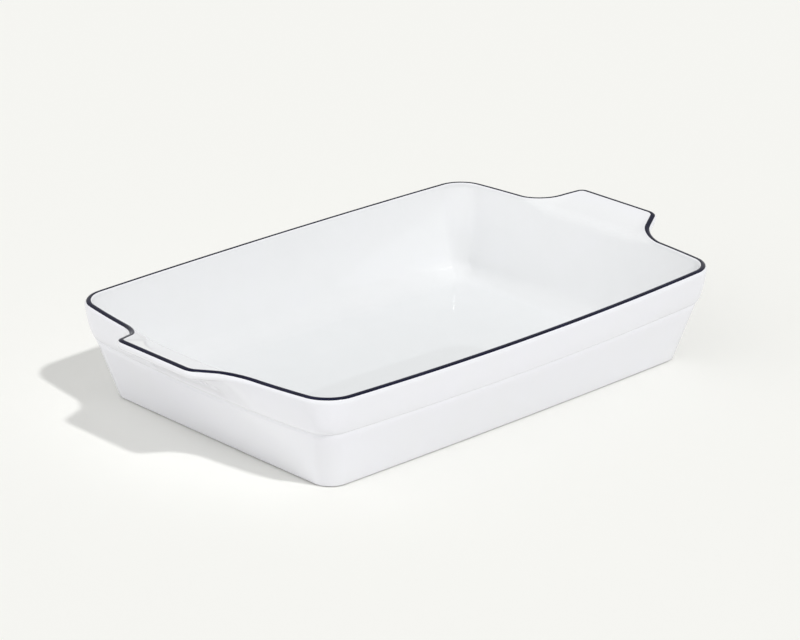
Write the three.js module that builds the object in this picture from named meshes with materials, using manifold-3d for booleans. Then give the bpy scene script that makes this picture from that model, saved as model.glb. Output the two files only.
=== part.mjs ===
// A rectangular stoneware baking dish: a floor on a bare foot ring, a tapered wall, a swelling rim collar
// with a tab handle at each end, and a dark glaze band along the crest of the rim.
// Millimetres. X runs through both handles, Z is up, and the dish stands on z = 0.
import * as THREE from 'three';
import { mergeVertices } from 'three/addons/utils/BufferGeometryUtils.js';
import Module from 'manifold-3d';

// Rim: its centre line is a rounded rectangle whose ends and sides bow out midway
const dishLength = 332.4; // centre line at the corners, handles left out
const dishWidth = 232.4;
const rimCorner = 15.2;
const rimBowEnds = 11;
const rimBowSides = 5.6;
const rimHeight = 65; // top of the rim at the corners
const rimDip = 1.1; // how far the rim sags midway between its corners
const rimRadius = 3; // the rim is rounded over its whole thickness

// Crease under the collar, set in from the rim's centre line
const creaseHeight = 40;
const creaseInsetEnds = 1.4;
const creaseInsetSides = 3.5;
const creaseCorner = 13.5;
const creaseBowEnds = 7;
const creaseBowSides = 7.1;
const collarShoulder = 9; // height over the crease at which the collar's swell is aimed
const collarBelly = 4.3; // height below the rim's centre line at which a tab's underside is aimed

// Base edge on the table, set in from the rim's centre line
const baseInsetEnds = 11.4;
const baseInsetSides = 13.2;
const baseCorner = 13;
const baseBowEnds = 0.4;
const baseBowSides = 1.7;

// Body
const wallThickness = 7;
const floorThickness = 3.6;
const insideCorner = 16;
const floorCorner = 8;
const cove = 12; // reach of the rounded inside corner over the floor and up the wall
const foldDrop = 0.3; // how far the inside edge of the rim lies beyond its rounding
const footHeight = 0.8;
const footWidth = 7;
const footRound = 0.4;

// Handles
const handleReach = 35.3; // from the end of the rim's centre line to that of the handle's edge
const handleRise = 5.3; // climb of the rim from the end to the handle's edge
const handleClimb = 0.75; // power of that climb along the reach, steeper near the end below 1
const handleEdge = 65.2; // width of the outer edge between its corners
const handleRoot = 93.2; // width where the slanting flanks meet the end
const handleCorner = 6;
const handleSweep = 26.8; // radius of the hollow where a flank runs into the end
const handleSeamMargin = 1.8; // how far outside the collar the handle begins

// Rim band, placed by the angle from straight up, outwards positive
const bandOuterAngle = 41;
const bandInnerAngle = -12;
const bandThickness = 0.4;

// Where the rounding of the rim begins and ends, on the plain rim and at the handle's edge
const outerAngle = { plain: 90, handle: 150 };
const innerAngle = { plain: -70, handle: -25 };

// Fineness of the facets
const cornerSteps = 6;
const handleArcSteps = 5;
const sideSteps = 6;
const longestEndRun = 20;
const coveSteps = 4;
const bandSteps = 3;
const collarShares = [0.2, 0.4]; // along the collar's swell, up to where a tab's underside leaves it
const undersideShares = [1 / 3, 2 / 3]; // along that underside, out to the lip

const { lerp, degToRad } = THREE.MathUtils;

// Outline levels: one rounded rectangle with bowed sides at each height
const rimLine = {
  halfLength: dishLength / 2,
  halfWidth: dishWidth / 2,
  corner: rimCorner,
  bowEnds: rimBowEnds,
  bowSides: rimBowSides,
  height: rimHeight - rimRadius,
};
const creaseLine = {
  halfLength: rimLine.halfLength - creaseInsetEnds,
  halfWidth: rimLine.halfWidth - creaseInsetSides,
  corner: creaseCorner,
  bowEnds: creaseBowEnds,
  bowSides: creaseBowSides,
  height: creaseHeight,
};
const baseLine = {
  halfLength: rimLine.halfLength - baseInsetEnds,
  halfWidth: rimLine.halfWidth - baseInsetSides,
  corner: baseCorner,
  bowEnds: baseBowEnds,
  bowSides: baseBowSides,
  height: 0,
};

// Levels between others: straight from one to the next, or swung round a control level
function between(first, second, share) {
  const level = {};
  for (const size of Object.keys(first)) level[size] = lerp(first[size], second[size], share);
  return level;
}

function swung(start, control, end, share) {
  return between(between(start, control, share), between(control, end, share), share);
}

function offset(level, outward) {
  return {
    ...level,
    halfLength: level.halfLength + outward,
    halfWidth: level.halfWidth + outward,
    corner: level.corner + outward,
  };
}

const wallOutside = (height) => between(baseLine, creaseLine, height / creaseHeight);
const wallInside = (height) => ({ ...offset(wallOutside(height), -wallThickness), corner: insideCorner });

// Points along a chain of straight runs whose inner corners are rounded to the given radii
function roundedChain(corners, radii) {
  const points = [corners[0]];
  radii.forEach((radius, k) => {
    const corner = corners[k + 1];
    const back = corners[k].clone().sub(corner).normalize();
    const ahead = corners[k + 2].clone().sub(corner).normalize();
    const halfAngle = Math.acos(back.dot(ahead)) / 2;
    const inward = back.clone().add(ahead).normalize();
    const centre = inward.multiplyScalar(radius / Math.sin(halfAngle)).add(corner);
    const tangentLength = radius / Math.tan(halfAngle);
    const start = back.clone().multiplyScalar(tangentLength).add(corner).sub(centre).angle();
    const end = ahead.clone().multiplyScalar(tangentLength).add(corner).sub(centre).angle();
    const clockwise = back.cross(ahead) > 0;
    const arc = new THREE.EllipseCurve(centre.x, centre.y, radius, radius, start, end, clockwise);
    points.push(...arc.getPoints(handleArcSteps));
  });
  points.push(corners[corners.length - 1]);
  return points;
}

function withShortRuns(points, longest) {
  const divided = [points[0]];
  for (let k = 1; k < points.length; k += 1) {
    const parts = Math.ceil(points[k].distanceTo(points[k - 1]) / longest);
    for (let part = 1; part <= parts; part += 1) {
      divided.push(points[k - 1].clone().lerp(points[k], part / parts));
    }
  }
  return divided;
}

// Half of one end, from the middle of the handle to the corner: x is the reach of the tab beyond the end
const straightEnd = rimLine.halfWidth - rimLine.corner;
const endChain = roundedChain(
  [
    new THREE.Vector2(handleReach, 0),
    new THREE.Vector2(handleReach, handleEdge / 2),
    new THREE.Vector2(0, handleRoot / 2),
    new THREE.Vector2(0, straightEnd),
  ],
  [handleCorner, handleSweep],
);
const endStations = withShortRuns(endChain, longestEndRun).map((point) => ({
  tab: Math.max(0, point.x) / handleReach, // rounding can leave the sweep's foot a hair inside the end
  share: point.y / straightEnd,
}));

// A quarter of a level's outline, from the middle of the right end to the middle of the back side
function quarterOutline(level, tabReach) {
  const straightLength = level.halfLength - level.corner;
  const straightWidth = level.halfWidth - level.corner;
  const quarter = endStations.map(({ tab, share }) => ({
    x: level.halfLength,
    y: share * straightWidth,
    tab,
  }));
  for (let step = 1; step <= cornerSteps; step += 1) {
    const angle = (step / cornerSteps) * (Math.PI / 2);
    quarter.push({
      x: straightLength + level.corner * Math.cos(angle),
      y: straightWidth + level.corner * Math.sin(angle),
      tab: 0,
    });
  }
  for (let step = 1; step <= sideSteps; step += 1) {
    quarter.push({ x: straightLength * (1 - step / sideSteps), y: level.halfWidth, tab: 0 });
  }
  return quarter.map(({ x, y, tab }) => {
    const alongSide = 1 - (x / level.halfLength) ** 2;
    const alongEnd = 1 - (y / level.halfWidth) ** 2;
    const bowShare = tabReach > 0 ? 1 - tab : 1; // a tab's outer edge is straight
    return {
      x: x + tab * tabReach + level.bowEnds * alongEnd * bowShare,
      y: y + level.bowSides * alongSide,
      tab,
      height: level.height,
      dip: rimDip * (alongSide + alongEnd) * (1 - tab), // the handles don't sag
    };
  });
}

// The whole outline, mirrored from its quarter and running counter-clockwise seen from above
function ring(level, tabReach = 0) {
  const quarter = quarterOutline(level, tabReach);
  const backLeft = quarter.slice(0, -1).reverse().map((point) => ({ ...point, x: -point.x }));
  const backHalf = [...quarter, ...backLeft];
  const frontHalf = backHalf.slice(1, -1).map((point) => ({ ...point, x: -point.x, y: -point.y }));
  return [...backHalf, ...frontHalf];
}

const row = (level) => ring(level).map(({ x, y, height }) => new THREE.Vector3(x, y, height));

// The rim's centre line with its handles, and the outward direction at each of its stations
const rimStations = ring(rimLine, handleReach).map((point, k, all) => {
  const before = all[(k + all.length - 1) % all.length];
  const after = all[(k + 1) % all.length];
  const outward = new THREE.Vector3(after.y - before.y, before.x - after.x, 0).normalize();
  const height = point.height - point.dip + handleRise * point.tab ** handleClimb;
  const centre = new THREE.Vector3(point.x, point.y, height);
  return { centre, outward, tab: point.tab };
});

// A row along the rim's rounding, where angleAt gives the angle from straight up for each reach of the tab
function rimRow(angleAt, radius = rimRadius) {
  return rimStations.map(({ centre, outward, tab }) => {
    const angle = degToRad(angleAt(tab));
    const point = centre.clone().addScaledVector(outward, radius * Math.sin(angle));
    point.z += radius * Math.cos(angle);
    return point;
  });
}

const outerEnd = (tab) => lerp(outerAngle.plain, outerAngle.handle, tab);
const innerEnd = (tab) => lerp(innerAngle.plain, innerAngle.handle, tab);
const bandAngle = (step) => lerp(bandOuterAngle, bandInnerAngle, step / bandSteps);

// A closed skin over rows of points: each row is a ring, and the last row joins the first
function closedLoft(rows) {
  const count = rows[0].length;
  const positions = rows.flat().flatMap((point) => point.toArray());
  const faces = [];
  rows.forEach((current, j) => {
    const following = (j + 1) % rows.length;
    for (let i = 0; i < count; i += 1) {
      const next = (i + 1) % count;
      const corners = [j * count + i, j * count + next, following * count + next, following * count + i];
      const rising = current[i].distanceTo(rows[following][next]);
      const falling = current[next].distanceTo(rows[following][i]);
      const [a, b, c, d] = rising <= falling ? corners : [...corners.slice(1), corners[0]];
      faces.push(a, b, c, a, c, d);
    }
  });
  const geometry = new THREE.BufferGeometry();
  geometry.setAttribute('position', new THREE.Float32BufferAttribute(positions, 3));
  geometry.setIndex(faces);
  geometry.computeVertexNormals();
  return geometry;
}

// Cutting with manifold solids
const wasm = await Module();
wasm.setup();

function solidOf(geometry) {
  const bare = geometry.clone();
  bare.deleteAttribute('normal');
  bare.deleteAttribute('uv');
  const merged = mergeVertices(bare);
  const vertProperties = Float32Array.from(merged.getAttribute('position').array);
  const triVerts = Uint32Array.from(merged.getIndex().array);
  return new wasm.Manifold(new wasm.Mesh({ numProp: 3, vertProperties, triVerts }));
}

function geometryOf(solid) {
  const { vertProperties, triVerts } = solid.getMesh();
  const geometry = new THREE.BufferGeometry();
  geometry.setAttribute('position', new THREE.BufferAttribute(vertProperties, 3));
  geometry.setIndex(new THREE.BufferAttribute(triVerts, 1));
  geometry.computeVertexNormals();
  return geometry;
}

// Foot ring: the bare ring that the dish stands on
function footRing() {
  const outside = wallOutside(footHeight);
  return closedLoft([
    row(offset(baseLine, -footRound)),
    row(wallOutside(footRound)),
    row(outside),
    row(offset(outside, -footWidth)),
    row(offset(baseLine, footRound - footWidth)),
  ]);
}

// Floor: a flat slab inside the wall's cove
const floorTop = footHeight + floorThickness;
const wallFoot = wallInside(floorTop);
const floorEdge = { ...offset(wallFoot, -cove), corner: floorCorner };

function floorSlab() {
  const shape = new THREE.Shape(row(floorEdge).map(({ x, y }) => new THREE.Vector2(x, y)));
  const slab = new THREE.ExtrudeGeometry(shape, { depth: floorThickness, bevelEnabled: false });
  return slab.translate(0, 0, footHeight);
}

// Lower wall: tapered from the foot to the crease, with a cove down to the floor inside
function lowerWall() {
  const coveRows = [];
  for (let step = 0; step <= coveSteps; step += 1) {
    const level = swung(wallInside(floorTop + cove), wallFoot, floorEdge, step / coveSteps);
    coveRows.push(row(level));
  }
  return closedLoft([
    row(wallOutside(footHeight)),
    row(creaseLine),
    row(wallInside(creaseHeight)),
    ...coveRows,
    row({ ...floorEdge, height: footHeight }),
  ]);
}

// Collar and handles in one sweep: swell, underside of the tabs, rounded rim, and inside face
function upperBody() {
  const rimSide = offset(rimLine, rimRadius);
  const shoulder = { ...rimSide, height: creaseHeight + collarShoulder };
  const swell = collarShares.map((share) => row(swung(creaseLine, shoulder, rimSide, share)));
  const neck = swell[swell.length - 1];
  const belly = row({ ...rimSide, height: rimSide.height - collarBelly });
  const lip = rimRow(outerEnd);
  const underside = undersideShares.map((share) =>
    neck.map((point, k) => new THREE.QuadraticBezierCurve3(point, belly[k], lip[k]).getPoint(share)),
  );
  const bandRows = [];
  for (let step = 0; step <= bandSteps; step += 1) bandRows.push(rimRow(() => bandAngle(step)));
  return closedLoft([
    row(creaseLine),
    ...swell,
    ...underside,
    lip,
    rimRow((tab) => (outerEnd(tab) + bandOuterAngle) / 2),
    ...bandRows,
    rimRow((tab) => (innerEnd(tab) + bandInnerAngle) / 2),
    rimRow(innerEnd),
    row(offset(rimLine, -rimRadius - foldDrop)),
    row(wallInside(creaseHeight)),
  ]);
}

// Rim band: a thin layer of coloured glaze that feathers out at both edges
function rimBand() {
  const outside = [];
  const underneath = [];
  for (let step = 1; step < bandSteps; step += 1) {
    outside.push(rimRow(() => bandAngle(step), rimRadius + bandThickness));
    underneath.unshift(rimRow(() => bandAngle(step)));
  }
  return closedLoft([
    rimRow(() => bandOuterAngle),
    ...outside,
    rimRow(() => bandInnerAngle),
    ...underneath,
  ]);
}

// The tabs are parted from the collar by an upright plane just outside it, the near face of a block that
// takes in a whole tab
function beyondSeam(side) {
  const seam = rimLine.halfLength + rimBowEnds + rimRadius + handleSeamMargin;
  const block = new THREE.BoxGeometry(dishLength, dishWidth, 2 * (rimHeight + handleRise + rimRadius));
  return solidOf(block.translate(side * (seam + dishLength / 2), 0, 0));
}

const whiteGlaze = new THREE.MeshStandardMaterial({ color: 0xeff1f4, roughness: 0.12, metalness: 0 });
const navyGlaze = new THREE.MeshStandardMaterial({ color: 0x171a3c, roughness: 0.15, metalness: 0 });
const bareStoneware = new THREE.MeshStandardMaterial({ color: 0xd9d0c3, roughness: 0.85, metalness: 0 });

const dish = new THREE.Group();

function add(name, geometry, material) {
  const mesh = new THREE.Mesh(geometry, material);
  mesh.name = name;
  dish.add(mesh);
}

const body = solidOf(upperBody());
const leftOfSeam = beyondSeam(-1);
const rightOfSeam = beyondSeam(1);

add('foot_ring', footRing(), bareStoneware);
add('floor', floorSlab(), whiteGlaze);
add('lower_wall', lowerWall(), whiteGlaze);
add('rim_collar', geometryOf(body.subtract(leftOfSeam).subtract(rightOfSeam)), whiteGlaze);
add('left_handle', geometryOf(body.intersect(leftOfSeam)), whiteGlaze);
add('right_handle', geometryOf(body.intersect(rightOfSeam)), whiteGlaze);
add('rim_band', rimBand(), navyGlaze);

export default dish;
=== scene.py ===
import math

import bmesh
import bpy
from mathutils import Matrix, Vector, noise


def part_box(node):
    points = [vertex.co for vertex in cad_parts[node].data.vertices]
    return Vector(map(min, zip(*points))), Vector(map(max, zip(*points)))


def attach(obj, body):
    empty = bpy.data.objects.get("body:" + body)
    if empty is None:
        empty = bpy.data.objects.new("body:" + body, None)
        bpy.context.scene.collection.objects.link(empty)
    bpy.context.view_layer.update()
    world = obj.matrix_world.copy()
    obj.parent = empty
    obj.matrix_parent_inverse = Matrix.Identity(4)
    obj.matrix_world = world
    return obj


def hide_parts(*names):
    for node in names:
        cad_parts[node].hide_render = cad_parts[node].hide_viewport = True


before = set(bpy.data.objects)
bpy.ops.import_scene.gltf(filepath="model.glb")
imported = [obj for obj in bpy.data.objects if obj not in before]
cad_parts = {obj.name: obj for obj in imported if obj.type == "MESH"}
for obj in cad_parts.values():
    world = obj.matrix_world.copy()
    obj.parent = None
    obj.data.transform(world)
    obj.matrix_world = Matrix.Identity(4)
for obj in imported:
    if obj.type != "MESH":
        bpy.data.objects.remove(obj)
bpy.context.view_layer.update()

scene = bpy.context.scene
print("frame loaded, nodes:", sorted(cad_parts))


# small helpers

def linear(hexColour):
    channels = [int(hexColour[i:i + 2], 16) / 255 for i in (1, 3, 5)]
    return [c / 12.92 if c <= 0.04045 else ((c + 0.055) / 1.055) ** 2.4 for c in channels] + [1]


def perMm(size):  # texture scale for a pattern whose marks are this many millimetres apart
    return 1000 / size


def addNode(tree, kind, inputs, **settings):
    node = tree.nodes.new("ShaderNode" + kind)
    for name, value in settings.items():
        setattr(node, name, value)
    for name, value in inputs.items():
        if isinstance(value, bpy.types.NodeSocket):
            tree.links.new(value, node.inputs[name])
        else:
            node.inputs[name].default_value = value
    return node


def newMaterial(name):
    material = bpy.data.materials.new(name)
    material.use_nodes = True
    return material, material.node_tree, material.node_tree.nodes["Principled BSDF"]


def mix(a, b, share):
    return a + (b - a) * share


# camera at the photograph's angle: out over the near corner, looking down across the dish

view = {
    "place": (-1.35309, -1.43789, 0.81197),
    "target": (0.01061, 0.01139, 0.0319),
    "lens": 149.08,
    "sensor": 36,
}
camera = bpy.data.objects.new("camera", bpy.data.cameras.new("camera"))
camera.location = view["place"]
aim = Vector(view["target"]) - Vector(view["place"])
camera.rotation_euler = aim.to_track_quat("-Z", "Y").to_euler()
camera.data.lens = view["lens"]
camera.data.sensor_width = view["sensor"]
scene.collection.objects.link(camera)
scene.camera = camera


# a key lamp over the near long side, soft panels low on the left, high over the near end and low beyond the
# far end, and an even room

light = {
    "keyTravel": (0, 0.8, -1),
    "keyStrength": 1.39,
    "keySpread": math.radians(3.6),
    "roomLevel": 0.31,
    # the way to the middle of each panel, and how bright it is there
    "panels": [((-0.692, 0.692, 0.208), 0.38), ((-0.707, 0, 0.707), 0.56), ((0.94, 0.27, 0.208), 0.36)],
    "panelFall": 2,  # how fast a panel fades away from its middle
    "colour": "#ffffff",
}
key = bpy.data.objects.new("key", bpy.data.lights.new("key", "SUN"))
key.rotation_euler = Vector(light["keyTravel"]).to_track_quat("-Z", "Y").to_euler()
key.data.energy = light["keyStrength"]
key.data.angle = light["keySpread"]
scene.collection.objects.link(key)

sky = bpy.data.worlds.new("sky")
sky.use_nodes = True
scene.world = sky
skyNodes = sky.node_tree
direction = addNode(skyNodes, "TexCoord", {}).outputs["Generated"]
level = light["roomLevel"]
for aimedAt, strength in light["panels"]:
    facing = addNode(skyNodes, "VectorMath", {0: direction, 1: aimedAt}, operation="DOT_PRODUCT")
    front = addNode(skyNodes, "Math", {0: facing.outputs["Value"], 1: 0}, operation="MAXIMUM")
    soft = addNode(skyNodes, "Math", {0: front.outputs["Value"], 1: light["panelFall"]}, operation="POWER")
    panel = addNode(skyNodes, "Math", {0: soft.outputs["Value"], 1: strength}, operation="MULTIPLY")
    total = addNode(skyNodes, "Math", {0: panel.outputs["Value"], 1: level}, operation="ADD")
    level = total.outputs["Value"]
background = skyNodes.nodes["Background"]
background.inputs["Color"].default_value = linear(light["colour"])
skyNodes.links.new(level, background.inputs["Strength"])
scene.view_settings.view_transform = "Standard"
print("camera and light set")


# materials

def whiteGlaze():
    # glossy white glaze on stoneware: a clear skin over white, a little uneven where it ran in firing,
    # faintly violet on the outside, greyer and darker down the inside to the floor: partly the real pooling
    # of thicker glaze, partly painted shade on the floor and cove
    finish = {
        "coats": [(0, "#f5f5fc"), (0.45, "#f3f4f5"), (1, "#e8eaeb")],  # from thin glaze to thick; the thick end, on the floor, is partly painted shade
        "roughness": 0.025,
        "ior": 1.5,
        "wave": 26,
        "waveDepth": 0.00002,
        "peel": 3.2,
        "peelDepth": 0.0000015,
        "unevenness": 0.2,
    }
    material, tree, shader = newMaterial("white stoneware glaze")
    place = addNode(tree, "TexCoord", {}).outputs["Object"]
    wave = addNode(tree, "TexNoise", {"Vector": place, "Scale": perMm(finish["wave"]), "Detail": 1})
    peel = addNode(tree, "TexNoise", {"Vector": place, "Scale": perMm(finish["peel"]), "Detail": 2})
    # share of thicker glaze at this spot, which also carries the painted shade down the inside
    thick = addNode(tree, "Attribute", {}, attribute_name="glazePoolAndShade")
    run = addNode(
        tree, "Math",
        {0: wave.outputs["Fac"], 1: finish["unevenness"], 2: thick.outputs["Fac"]},
        operation="MULTIPLY_ADD",
    )
    colour = addNode(tree, "ValToRGB", {"Fac": run.outputs["Value"]})
    colour.color_ramp.elements.new(0.5)  # a third stop, placed with the others
    for stop, (share, coat) in zip(colour.color_ramp.elements, finish["coats"]):
        stop.position = share
        stop.color = linear(coat)
    broad = addNode(tree, "Bump", {"Height": wave.outputs["Fac"], "Distance": finish["waveDepth"]})
    fine = addNode(
        tree, "Bump",
        {"Height": peel.outputs["Fac"], "Distance": finish["peelDepth"], "Normal": broad.outputs["Normal"]},
    )
    shader.inputs["Roughness"].default_value = finish["roughness"]
    shader.inputs["IOR"].default_value = finish["ior"]
    tree.links.new(colour.outputs["Color"], shader.inputs["Base Color"])
    tree.links.new(fine.outputs["Normal"], shader.inputs["Normal"])
    return material


def navyGlaze():
    # a banded line of cobalt glaze: nearly black where it lies thick, bluer where the brush left less
    finish = {
        "thick": "#030416",
        "thin": "#0c1036",
        "roughness": 0.2,
        "shine": 0.25,
        "streak": 9,
        "streakDepth": 0.00001,
    }
    material, tree, shader = newMaterial("navy banding glaze")
    place = addNode(tree, "TexCoord", {}).outputs["Object"]
    streak = addNode(tree, "TexNoise", {"Vector": place, "Scale": perMm(finish["streak"]), "Detail": 3})
    colour = addNode(
        tree, "Mix",
        {"Factor": streak.outputs["Fac"], "A": linear(finish["thick"]), "B": linear(finish["thin"])},
        data_type="RGBA",
    )
    bump = addNode(tree, "Bump", {"Height": streak.outputs["Fac"], "Distance": finish["streakDepth"]})
    shader.inputs["Roughness"].default_value = finish["roughness"]
    shader.inputs["Specular IOR Level"].default_value = finish["shine"]
    tree.links.new(colour.outputs["Result"], shader.inputs["Base Color"])
    tree.links.new(bump.outputs["Normal"], shader.inputs["Normal"])
    return material


def bareStoneware():
    # unglazed fired clay, wiped clean before the kiln: matt, sandy to the touch, with darker grog specks
    finish = {
        "clay": "#d9d0c3",
        "grog": "#b3a48f",
        "specks": (0.5, 0.75),  # from no grog to all grog
        "roughness": 0.85,
        "grain": 0.6,
        "grainDepth": 0.00008,
    }
    material, tree, shader = newMaterial("bare stoneware")
    place = addNode(tree, "TexCoord", {}).outputs["Object"]
    grain = addNode(tree, "TexNoise", {"Vector": place, "Scale": perMm(finish["grain"]), "Detail": 4})
    none, full = finish["specks"]
    specks = addNode(tree, "MapRange", {"Value": grain.outputs["Fac"], "From Min": none, "From Max": full})
    colour = addNode(
        tree, "Mix",
        {"Factor": specks.outputs["Result"], "A": linear(finish["clay"]), "B": linear(finish["grog"])},
        data_type="RGBA",
    )
    bump = addNode(tree, "Bump", {"Height": grain.outputs["Fac"], "Distance": finish["grainDepth"]})
    shader.inputs["Roughness"].default_value = finish["roughness"]
    tree.links.new(colour.outputs["Result"], shader.inputs["Base Color"])
    tree.links.new(bump.outputs["Normal"], shader.inputs["Normal"])
    return material


def paleFloor():
    # plain matt studio paper: warm white, with nothing on it but the shadow
    finish = {"colour": "#f6f6f2", "roughness": 1}
    material, tree, shader = newMaterial("pale floor")
    shader.inputs["Base Color"].default_value = linear(finish["colour"])
    shader.inputs["Roughness"].default_value = finish["roughness"]
    shader.inputs["Specular IOR Level"].default_value = 0
    return material


# levels of the dish: each is a rounded rectangle whose sides bow out, at its own height

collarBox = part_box("rim_collar")
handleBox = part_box("right_handle")
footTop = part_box("foot_ring")[1].z
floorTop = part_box("floor")[1].z
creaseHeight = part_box("lower_wall")[1].z

rim = {
    "radius": 0.003,  # of the round over its crest
    "length": 0.3324,  # along its centre line, handles left out
    "corner": 0.0152,
    "bowEnds": 0.011,
    "bowSides": 0.0056,
    "dip": 0.0011,  # the rim sags a little between its corners
    "height": 0.065,
}
handle = {
    "edge": 0.0652,  # straight outer edge, corner to corner
    "root": 0.0932,  # width where the flanks run into the end
    "corner": 0.0056,
    "sweep": 0.025,
    "rise": 0.0053,
    "climb": 0.75,  # steeper near the end of the dish than out at the edge
    "ease": 3,  # how soon a flank has the shape of the handle
}
rimLine = {
    "halfLength": rim["length"] / 2,
    "halfWidth": collarBox[1].y - rim["bowSides"] - rim["radius"],
    "corner": rim["corner"],
    "bowEnds": rim["bowEnds"],
    "bowSides": rim["bowSides"],
    "height": rim["height"] - rim["radius"],
}
reach = handleBox[1].x - rim["radius"] - rimLine["halfLength"]
taper = {  # how far in from the middle of the rim
    "creaseEnds": 0.0014,
    "creaseSides": 0.0035,
    "baseEnds": 0.0114,
    "baseSides": 0.0132,
}
creaseLine = {
    "halfLength": rimLine["halfLength"] - taper["creaseEnds"],
    "halfWidth": rimLine["halfWidth"] - taper["creaseSides"],
    "corner": 0.0135,
    "bowEnds": 0.007,
    "bowSides": 0.0071,
    "height": creaseHeight,
}
baseLine = {
    "halfLength": rimLine["halfLength"] - taper["baseEnds"],
    "halfWidth": rimLine["halfWidth"] - taper["baseSides"],
    "corner": 0.013,
    "bowEnds": 0.0004,
    "bowSides": 0.0017,
    "height": 0,
}

skin = {
    "handleCornerSteps": 9,
    "sweepSteps": 12,
    "rimCornerSteps": 14,
    "longestEdge": 0.0055,
    "middle": 0.15,  # the smallest ring on a flat, as a share of its edge
    "underHalf": 0.48,  # a rounding takes up less than half of the side that it is on
    "merge": 1e-6,
}


def between(first, second, share):
    return {size: mix(first[size], second[size], share) for size in first}


def grown(line, outward, **changed):
    # the same level, this much larger all round
    sizes = {size: line[size] + outward for size in ("halfLength", "halfWidth", "corner")}
    return {**line, **sizes, **changed}


def wallOutside(height):
    return between(baseLine, creaseLine, height / creaseHeight)


def quarterOutline():
    # a quarter of the rim from the handle's middle to the long side's: a few points with bevelled corners
    bm = bmesh.new()
    corners = [
        (rimLine["halfLength"] + reach, 0),
        (rimLine["halfLength"] + reach, handle["edge"] / 2),
        (rimLine["halfLength"], handle["root"] / 2),
        (rimLine["halfLength"], rimLine["halfWidth"]),
        (0, rimLine["halfWidth"]),
    ]
    verts = [bm.verts.new((x, y, 0)) for x, y in corners]
    for pair in zip(verts, verts[1:]):
        bm.edges.new(pair)
    rounds = [
        (handle["corner"], skin["handleCornerSteps"]),
        (handle["sweep"], skin["sweepSteps"]),
        (rim["corner"], skin["rimCornerSteps"]),
    ]
    for vert, (radius, segments) in zip(verts[1:4], rounds):
        before, after = [edge.other_vert(vert).co - vert.co for edge in vert.link_edges]
        offset = radius / math.tan(before.angle(after) / 2)
        bmesh.ops.bevel(
            bm, geom=[vert], offset=offset, offset_type="OFFSET", segments=segments,
            profile=0.5, affect="VERTICES", material=-1,
        )
    straight = sorted(bm.edges, key=lambda edge: -edge.calc_length())[:len(corners) - 1]
    for edge in straight:
        cuts = math.ceil(edge.calc_length() / skin["longestEdge"]) - 1
        bmesh.ops.subdivide_edges(bm, edges=[edge], cuts=cuts)
    point = next(v for v in bm.verts if len(v.link_edges) == 1 and v.co.y == 0)
    points, previous = [], None
    while point:
        points.append(point.co.xy)
        ahead = [edge.other_vert(point) for edge in point.link_edges]
        ahead = [vert for vert in ahead if vert is not previous]
        previous, point = point, ahead[0] if ahead else None
    bm.free()
    return points


outline = quarterOutline()


def fitted(value, straightRim, straightLine, cornerShare):
    # straight runs and corners are fitted apart, so that a corner stays round
    if value <= straightRim:
        return value * straightLine / straightRim
    return straightLine + (value - straightRim) * cornerShare


def tabShare(point):
    # how far out on a handle: 0 at the end of the dish, 1 at the handle's outer edge
    return max(0, point.x - rimLine["halfLength"]) / reach


def loop(line, tabReach=0):
    # the rim's quarter outline fitted to a level
    places = []
    cornerShare = line["corner"] / rimLine["corner"]
    straight = {
        size: (rimLine[size] - rimLine["corner"], line[size] - line["corner"])
        for size in ("halfLength", "halfWidth")
    }
    for point in outline:
        tab = tabShare(point)
        x = fitted(min(point.x, rimLine["halfLength"]), *straight["halfLength"], cornerShare)
        y = fitted(point.y, *straight["halfWidth"], cornerShare)
        alongSide = 1 - (x / line["halfLength"]) ** 2
        alongEnd = 1 - (y / line["halfWidth"]) ** 2
        bowShare = 1 - tab if tabReach else 1  # a handle's outer edge is straight
        places.append(Vector((
            x + tab * tabReach + line["bowEnds"] * alongEnd * bowShare,
            y + line["bowSides"] * alongSide,
            line["height"],
        )))
    return places


def rimCentre():
    # the middle of the rim's round, all along the quarter
    places = loop(rimLine, reach)
    for place, point in zip(places, outline):
        tab = tabShare(point)
        alongSide = min(1, point.x / rimLine["halfLength"]) ** 2
        alongEnd = (point.y / rimLine["halfWidth"]) ** 2
        place.z += handle["rise"] * tab ** handle["climb"]
        place.z -= rim["dip"] * (2 - alongSide - alongEnd) * (1 - tab)
    return places


centre = rimCentre()
tabs = [tabShare(point) for point in outline]
eased = [1 - (1 - tab) ** handle["ease"] for tab in tabs]


def outwardAt(k):
    before = centre[k - 1] if k else centre[1] * Vector((1, -1, 1))
    after = centre[k + 1] if k + 1 < len(centre) else centre[k - 1] * Vector((-1, 1, 1))
    return Vector((after.y - before.y, before.x - after.x, 0)).normalized()


outwards = [outwardAt(k) for k in range(len(centre))]


def rollLoop(angles, radius):
    # a line along the round of the rim, by the angle from straight up at each place
    return [
        place + radius * (math.sin(angle) * outward + math.cos(angle) * Vector((0, 0, 1)))
        for place, outward, angle in zip(centre, outwards, angles)
    ]


def curve(controls, count, withFirst=False):
    # lines of points along the curve that the control lines lead, place by place
    lines = []
    for step in range(0 if withFirst else 1, count + 1):
        share = step / count
        leads = controls
        while len(leads) > 1:
            leads = [[a.lerp(b, share) for a, b in zip(one, two)] for one, two in zip(leads, leads[1:])]
        lines.append(leads[0])
    return lines


def towards(first, second, distances):
    # places at these distances from the first line on the way to the second
    places = []
    for a, b, far in zip(first, second, distances):
        share = far / max((b - a).length, skin["merge"])
        places.append(a.lerp(b, min(skin["underHalf"], share)))
    return places


def shrunk(places):
    # a small ring of the same shape, to be filled across the middle
    return [place * Vector((skin["middle"], skin["middle"], 1)) for place in places]


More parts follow.
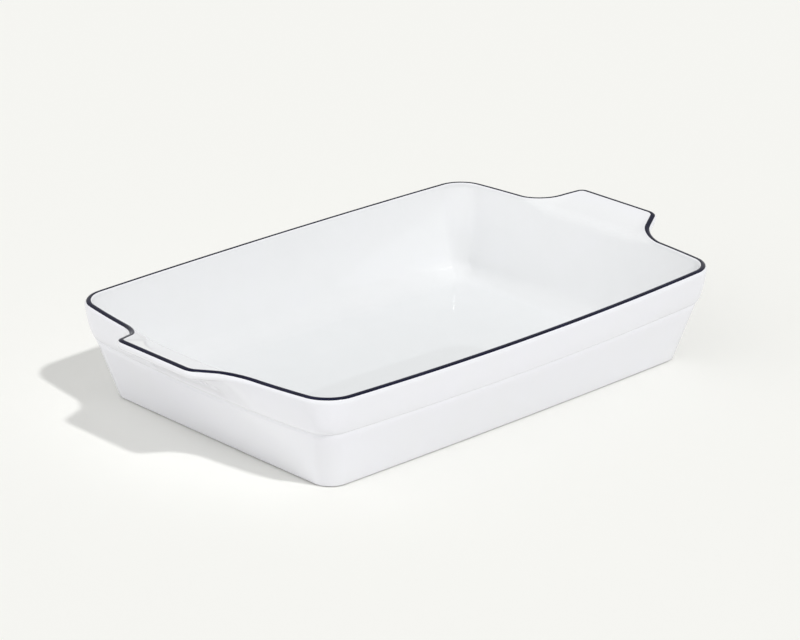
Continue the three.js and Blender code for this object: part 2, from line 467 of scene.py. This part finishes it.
def quarterSkin(rows):
    # a grid laid over the rows of a quarter, then mirrored to the whole ring
    bm = bmesh.new()
    # share of thicker glaze, which also carries painted shade on the floor and cove
    thick = bm.verts.layers.float.new("glazePoolAndShade")
    grid = bmesh.ops.create_grid(bm, x_segments=len(outline) - 1, y_segments=len(rows) - 1, size=1)
    spots = [(place, weight) for line, weight in rows for place in line]
    for vert, (place, weight) in zip(grid["verts"], spots):
        vert.co = place
        vert[thick] = weight
    for axis in "XY":
        everything = bm.verts[:] + bm.edges[:] + bm.faces[:]
        bmesh.ops.mirror(bm, geom=everything, matrix=Matrix(), merge_dist=skin["merge"], axis=axis)
    bmesh.ops.remove_doubles(bm, verts=bm.verts[:], dist=skin["merge"])
    bmesh.ops.holes_fill(bm, edges=[edge for edge in bm.edges if edge.is_boundary], sides=0)
    bmesh.ops.recalc_face_normals(bm, faces=bm.faces[:])
    for face in bm.faces:
        face.smooth = True
    return bm


def finishPiece(name, bm, material, slot, *nodes):
    mesh = bpy.data.meshes.new(name)
    bm.to_mesh(mesh)
    bm.free()
    mesh.materials.append(material)
    piece = bpy.data.objects.new(name, mesh)
    scene.collection.objects.link(piece)
    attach(piece, "root")
    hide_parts(*nodes)
    print("made", name, "with", len(mesh.polygons), "faces")


def spread(plain, atHandle, shares):
    return [mix(plain, atHandle, share) for share in shares]


def blended(first, second, share):
    return [mix(a, b, share) for a, b in zip(first, second)]


# glazed body: one skin from the middle of the underside, up the outside, over the rim and down to the floor

body = {
    "wall": 0.007,
    "insideCorner": 0.016,  # of the wall inside, up at the crease
    "wallCorner": 0.0075,  # and down at the table
    "floorCorner": 0.008,
    "cove": 0.012,  # the turn from the wall to the floor
    "footWidth": 0.007,
    "bead": 0.0003,  # rounded edge where the glaze stops
    "gap": 0.00065,  # how far that edge stays off the table
    "skirt": 0.0024,  # how far the glaze hangs out beyond the foot
    "crease": 0.0005,  # half the width of the crease
    "groove": 0.0004,  # how deep its curve is drawn in
    "shoulder": (0.35, 0.003),  # where the collar turns up from the crease: share of its overhang, height
    "shoulderCorner": 0.0105,  # fuller at the corners of the dish
    "neck": 0.0045,  # how much higher it turns out under the handles
    "underside": 0.015,  # a handle's underside runs this far straight in from its lip
    "undersideDrop": 0.0055,  # and falls this much on the way
    "outer": (90, 160),  # where the rim's round starts, in degrees out from straight up: plain rim, handle
    "inner": (-38, -20),  # and where it ends on the inside
    "sag": 0.0007,  # the floor sinks a little in firing
    "sagShare": 0.25,  # mostly within this share of the way to its middle
    "fold": 0.0022,  # the inside edge of the rim, in from its centre line
    "foldSoft": (0.0008, 0.006),  # how much that edge is rounded: plain rim, handle
    "insideSoft": 0.009,  # and the bend of the wall inside, at the height of the crease
    "poolAndShade": {  # share of thick glaze and of painted shade, from none to the most, on the floor
        "outside": 0, "edge": 0.1, "rim": 0.25, "handleTop": 0.4, "wall": 0.35, "cove": 0.8, "floor": 0.95,
    },
    "steps": {  # lines across each part of the skin
        "underside": 6, "skirt": 4, "bead": 5, "outsideWall": 10, "crease": 6, "collar": 24, "rim": 18,
        "handleTop": 4, "fold": 8, "upperWall": 3, "bend": 6, "lowerWall": 3, "cove": 12, "floor": 12,
    },
    "creaseTakes": 2,  # lines of the collar that the crease stands in for
}
poolAndShade = body["poolAndShade"]
steps = body["steps"]


def wallInside(height):
    corner = mix(body["wallCorner"], body["insideCorner"], height / creaseHeight)
    return grown(wallOutside(height), -body["wall"], corner=corner)


def withPoolAndShade(lines, start, end):
    # lines with the share of thick glaze and painted shade that lies along them
    return [(line, mix(start, end, (k + 1) / len(lines))) for k, line in enumerate(lines)]


def undersideRows():
    # from the middle of the underside out to the rounded edge of the glaze, just off the table
    footInside = loop(grown(wallOutside(footTop), -body["footWidth"]))
    hidden = loop(grown(wallOutside(footTop), -body["skirt"]))
    edge = wallOutside(body["gap"])
    back = loop(grown(edge, -body["skirt"]))
    toe = loop(grown(edge, -body["bead"]))
    lines = curve([shrunk(footInside), footInside], steps["underside"], withFirst=True) + [hidden]
    lines += curve([hidden, back, toe], steps["skirt"])
    return withPoolAndShade(lines, poolAndShade["outside"], poolAndShade["outside"])


def lowerWallRows():
    # round the edge of the glaze and up the wall to just under the crease
    edge = wallOutside(body["gap"])
    toe = loop(grown(edge, -body["bead"]))
    heel = loop(wallOutside(body["gap"] + body["bead"]))
    crease = loop(creaseLine)
    below = towards(crease, heel, [body["crease"]] * len(crease))
    rows = withPoolAndShade(curve([toe, loop(edge), heel], steps["bead"]), poolAndShade["outside"], poolAndShade["edge"])
    return rows + withPoolAndShade(curve([heel, below], steps["outsideWall"]), poolAndShade["edge"], poolAndShade["outside"])


def collarRows(lip):
    # crease, then the swell of the collar, swept out under the handles to their lips
    # away from the handles the shoulder leads it, so both inner control lines lie two thirds of the way there
    rimSide = grown(rimLine, rim["radius"])
    crease = loop(creaseLine)
    overhang, turnHeight = body["shoulder"]
    turn = between(creaseLine, rimSide, overhang)
    shoulder = loop({**turn, "corner": body["shoulderCorner"], "height": creaseHeight + turnHeight})
    first, second = [], []
    for k, share in enumerate(eased):
        first.append(crease[k].lerp(shoulder[k], 2 / 3) + Vector((0, 0, body["neck"])) * share)
        plain = lip[k].lerp(shoulder[k], 2 / 3)
        run = Vector((body["underside"], 0, body["undersideDrop"])) * tabs[k]
        second.append(plain.lerp(lip[k] - run, share))
    swell = curve([crease, first, second, lip], steps["collar"], withFirst=True)[body["creaseTakes"]:]
    below = towards(crease, loop(baseLine), [body["crease"]] * len(crease))
    above = towards(crease, swell[0], [body["crease"]] * len(crease))
    groove = loop(grown(creaseLine, -body["groove"]))
    drawn = curve([below, groove, above], steps["crease"])
    return withPoolAndShade(drawn, poolAndShade["edge"], poolAndShade["edge"]) + withPoolAndShade(swell, poolAndShade["outside"], poolAndShade["outside"])


def rimRows(outer, inner):
    lines = []
    for step in range(1, steps["rim"] + 1):
        lines.append(rollLoop(blended(outer, inner, step / steps["rim"]), rim["radius"]))
    return withPoolAndShade(lines, poolAndShade["outside"], poolAndShade["rim"])


def insideRows(rollEnd):
    # top of the handles, fold, wall, cove and floor
    fold = loop(grown(rimLine, -body["fold"]))
    insideCrease = loop(wallInside(creaseHeight))
    foldSoft = spread(*body["foldSoft"], eased)
    planeEnd = towards(fold, rollEnd, foldSoft)
    wallTop = towards(fold, insideCrease, foldSoft)
    coveTop = loop(wallInside(floorTop + body["cove"]))
    wallFoot = wallInside(floorTop)
    floorEdge = loop(grown(wallFoot, -body["cove"], corner=body["floorCorner"]))
    softs = [body["insideSoft"]] * len(fold)
    bendTop = towards(insideCrease, wallTop, softs)
    bendLow = towards(insideCrease, coveTop, softs)
    rows = withPoolAndShade(curve([rollEnd, planeEnd], steps["handleTop"]), poolAndShade["rim"], poolAndShade["handleTop"])
    rows += withPoolAndShade(curve([planeEnd, fold, wallTop], steps["fold"]), poolAndShade["handleTop"], poolAndShade["wall"])
    wall = curve([wallTop, bendTop], steps["upperWall"])
    wall += curve([bendTop, insideCrease, bendLow], steps["bend"])
    wall += curve([bendLow, coveTop], steps["lowerWall"])
    rows += withPoolAndShade(wall, poolAndShade["wall"], poolAndShade["wall"])
    middle = [place - Vector((0, 0, body["sag"])) for place in shrunk(floorEdge)]
    sunk, turn = [], []
    for edge, low in zip(floorEdge, middle):
        sunk.append(Vector((*edge.lerp(low, body["sagShare"]).xy, low.z)))
    for place, edge, low in zip(loop(wallFoot), floorEdge, sunk):  # the cove runs into the sagging floor
        turn.append(edge + (edge - low) * (place - edge).length / (edge - low).length)
    rows += withPoolAndShade(curve([coveTop, turn, floorEdge], steps["cove"]), poolAndShade["wall"], poolAndShade["cove"])
    return rows + withPoolAndShade(curve([floorEdge, sunk, middle], steps["floor"]), poolAndShade["cove"], poolAndShade["floor"])


def bodyRows():
    outer = [math.radians(angle) for angle in spread(*body["outer"], eased)]
    inner = [math.radians(angle) for angle in spread(*body["inner"], eased)]
    lip = rollLoop(outer, rim["radius"])
    rows = undersideRows() + lowerWallRows() + collarRows(lip) + rimRows(outer, inner)
    return rows + insideRows(rows[-1][0])


finishPiece(
    "glazed_body", quarterSkin(bodyRows()), whiteGlaze(), "white_glaze",
    "floor", "lower_wall", "rim_collar", "left_handle", "right_handle",
)


# navy line on the crest of the rim

band = {
    "outer": 44.5,  # its edges on the round of the rim, in degrees out from straight up
    "inner": -20,
    "proud": 0.00012,
    "sunk": 0.0002,  # how deep its hidden side lies in the white glaze
    "waver": 1.5,  # drift of the brush, in degrees
    "waverRun": 0.04,
    "steps": 10,
}


def bandRows():
    wavers = [band["waver"] * noise.noise(place / band["waverRun"]) for place in centre]
    outer = [math.radians(band["outer"] + waver) for waver in wavers]
    inner = [math.radians(band["inner"] - waver) for waver in wavers]
    lines = []
    for step in range(band["steps"] + 1):
        share = step / band["steps"]
        height = band["proud"] * math.sqrt(math.sin(math.pi * share))
        lines.append(rollLoop(blended(outer, inner, share), rim["radius"] + height))
    for share in (1, 0.5, 0):  # back underneath, from the inner edge to the outer
        lines.append(rollLoop(blended(outer, inner, share), rim["radius"] - band["sunk"]))
    return withPoolAndShade(lines + [lines[0]], 0, 0)


finishPiece("rim_line", quarterSkin(bandRows()), navyGlaze(), "navy_glaze", "rim_band")


# bare foot under the edge of the floor

foot = {
    "round": 0.0003,
    "setBack": 0.0026,  # in under the edge of the glaze
    "draft": 0.0004,  # it narrows a little down to the table
    "sideSteps": 2,
    "roundSteps": 5,
    "bottomSteps": 4,
}


def footRows():
    # once round the section: outer side, top, inner side and bottom
    width = body["footWidth"] - foot["setBack"]
    outside = grown(wallOutside(footTop), -foot["setBack"])
    low = grown({**outside, "height": 0}, -foot["draft"])
    bottomOut = loop(grown(low, -foot["round"]))
    bottomIn = loop(grown(low, foot["round"] - width))
    cornerOut = loop(low)
    cornerIn = loop(grown(low, -width))
    upOut = loop({**low, "height": foot["round"]})
    upIn = loop({**grown(low, -width), "height": foot["round"]})
    topOut = loop(outside)
    topIn = loop(grown(outside, -width))
    lines = curve([upOut, topOut], foot["sideSteps"], withFirst=True)
    lines += curve([topOut, topIn], foot["sideSteps"])
    lines += curve([topIn, upIn], foot["sideSteps"])
    lines += curve([upIn, cornerIn, bottomIn], foot["roundSteps"])
    lines += curve([bottomIn, bottomOut], foot["bottomSteps"])
    lines += curve([bottomOut, cornerOut, upOut], foot["roundSteps"])
    return withPoolAndShade(lines, 0, 0)


finishPiece("bare_foot", quarterSkin(footRows()), bareStoneware(), "bare_stoneware", "foot_ring")


# floor that the dish stands on

stage = {"size": 60}
bm = bmesh.new()
bmesh.ops.create_grid(bm, x_segments=1, y_segments=1, size=stage["size"] / 2)
mesh = bpy.data.meshes.new("floor")
bm.to_mesh(mesh)
bm.free()
mesh.materials.append(paleFloor())
floor = bpy.data.objects.new("stage_floor", mesh)
scene.collection.objects.link(floor)
